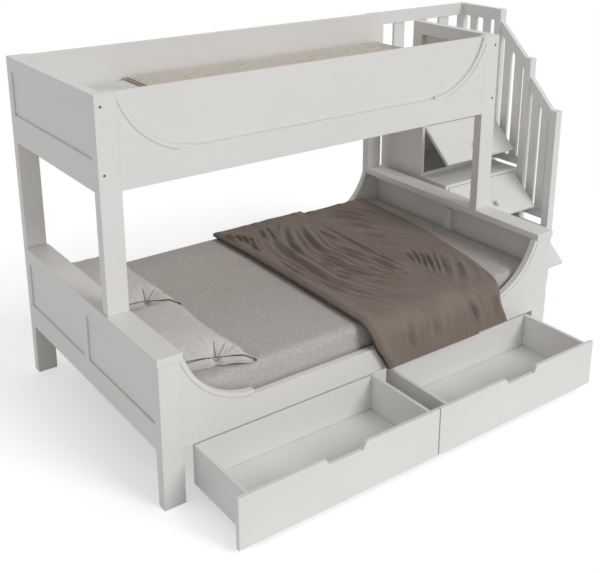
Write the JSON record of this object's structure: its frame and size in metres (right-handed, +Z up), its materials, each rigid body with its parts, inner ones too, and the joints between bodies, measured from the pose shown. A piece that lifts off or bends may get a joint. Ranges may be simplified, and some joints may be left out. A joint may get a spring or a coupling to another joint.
{
  "type": "bunk bed with storage stairs",
  "caption": "White bunk bed with a wide lower bed, rolling drawers under it and a flight of storage stairs with lift-up fronts and a railing.",
  "frame": {"origin": "on the floor, under the middle of the whole object's bounding box with both drawers pulled out as in the picture", "axes": "+Z up; +X along the bed towards the stairs; +Y from the drawers towards the back, wall side"},
  "size_m": [2.752, 1.654, 1.508],
  "materials": {
    "bed_wood": "white satin paint",
    "slat_wood": "planed, unfinished",
    "mattress_cover": "warm grey mottled linen sheet",
    "pillow_cotton": "light grey cotton",
    "duvet_cotton": "taupe cotton",
    "throw_knit": "beige tufted weave with short dark dashes",
    "bolt_steel": "dark plated",
    "castor_steel": "black painted",
    "castor_tyre": "dark rubber tyre"
  },
  "bodies": {
    "bed": {"leg_front_left": "bed_wood", "leg_front_right": "bed_wood", "post_back_left": "bed_wood", "post_back_right": "bed_wood", "post_upper_left": "bed_wood", "post_upper_right": "bed_wood", "cap_left": "bed_wood", "cap_right": "bed_wood", "rail_front_lower": "bed_wood", "rail_back_lower": "bed_wood", "rail_front_upper": "bed_wood", "guard_panel": "bed_wood", "panel_back_upper": "bed_wood", "spandrels_lower": "bed_wood", "spandrels_upper": "bed_wood", "end_rails_lower_left": "bed_wood", "end_rails_lower_right": "bed_wood", "end_rails_upper_left": "bed_wood", "end_rails_upper_right": "bed_wood", "end_panels_lower": "bed_wood", "end_panels_upper": "bed_wood", "slat_supports": "slat_wood", "slats_lower": "slat_wood", "slats_upper": "slat_wood", "stair_side_left": "bed_wood", "stair_side_right": "bed_wood", "tread_low": "bed_wood", "tread_mid": "bed_wood", "tread_top": "bed_wood", "stair_box_boards": "bed_wood", "railing_posts": "bed_wood", "handrails": "bed_wood", "foot_rails": "bed_wood", "balusters": "bed_wood", "post_bolts": "bolt_steel", "flap_pivots": "bolt_steel", "mattress_lower": "mattress_cover", "mattress_upper": "mattress_cover", "pillow_front": "pillow_cotton", "pillow_back": "pillow_cotton", "duvet": "duvet_cotton", "throw_upper": "throw_knit"},
    "drawer_left": {"drawer_left_front": "bed_wood", "drawer_left_sides": "bed_wood", "drawer_left_bottom": "bed_wood", "drawer_left_castors": "castor_steel"},
    "wheels_left_front": {"drawer_left_wheels_front": "castor_tyre"},
    "wheels_left_back": {"drawer_left_wheels_back": "castor_tyre"},
    "drawer_right": {"drawer_right_front": "bed_wood", "drawer_right_sides": "bed_wood", "drawer_right_bottom": "bed_wood", "drawer_right_castors": "castor_steel"},
    "wheels_right_front": {"drawer_right_wheels_front": "castor_tyre"},
    "wheels_right_back": {"drawer_right_wheels_back": "castor_tyre"},
    "flap_low": {"flap_low": "bed_wood", "knob_low": "bed_wood"},
    "flap_mid": {"flap_mid": "bed_wood", "knob_mid": "bed_wood"},
    "flap_top": {"flap_top": "bed_wood", "knob_top": "bed_wood"}
  },
  "joints": [
    {"name": "slide_drawer_left", "type": "slide", "parent": "bed", "child": "drawer_left", "axis": [0, -1, 0], "range_m": [-0.364, 0.25]},
    {"name": "spin_wheels_left_front", "type": "hinge", "parent": "drawer_left", "child": "wheels_left_front", "pos_m": [-0.8, -0.779, 0.02], "axis": [1, 0, 0], "continuous": true},
    {"name": "spin_wheels_left_back", "type": "hinge", "parent": "drawer_left", "child": "wheels_left_back", "pos_m": [-0.8, -0.498, 0.02], "axis": [1, 0, 0], "continuous": true},
    {"name": "slide_drawer_right", "type": "slide", "parent": "bed", "child": "drawer_right", "axis": [0, -1, 0], "range_m": [-0.364, 0.25]},
    {"name": "spin_wheels_right_front", "type": "hinge", "parent": "drawer_right", "child": "wheels_right_front", "pos_m": [0.152, -0.779, 0.02], "axis": [1, 0, 0], "continuous": true},
    {"name": "spin_wheels_right_back", "type": "hinge", "parent": "drawer_right", "child": "wheels_right_back", "pos_m": [0.152, -0.498, 0.02], "axis": [1, 0, 0], "continuous": true},
    {"name": "hinge_flap_low", "type": "hinge", "parent": "bed", "child": "flap_low", "pos_m": [1.051, 0.054, 0.317], "axis": [-1, 0, 0], "range_deg": [-48, 20]},
    {"name": "hinge_flap_mid", "type": "hinge", "parent": "bed", "child": "flap_mid", "pos_m": [1.051, 0.303, 0.604], "axis": [-1, 0, 0], "range_deg": [-48, 20]},
    {"name": "hinge_flap_top", "type": "hinge", "parent": "bed", "child": "flap_top", "pos_m": [1.051, 0.499, 0.907], "axis": [-1, 0, 0], "range_deg": [-48, 20]}
  ],
  "couplings": [
    {"joint": "spin_wheels_left_front", "follows": "slide_drawer_left", "rad_per_m": 50},
    {"joint": "spin_wheels_left_back", "follows": "slide_drawer_left", "rad_per_m": 50},
    {"joint": "spin_wheels_right_front", "follows": "slide_drawer_right", "rad_per_m": 50},
    {"joint": "spin_wheels_right_back", "follows": "slide_drawer_right", "rad_per_m": 50}
  ]
}
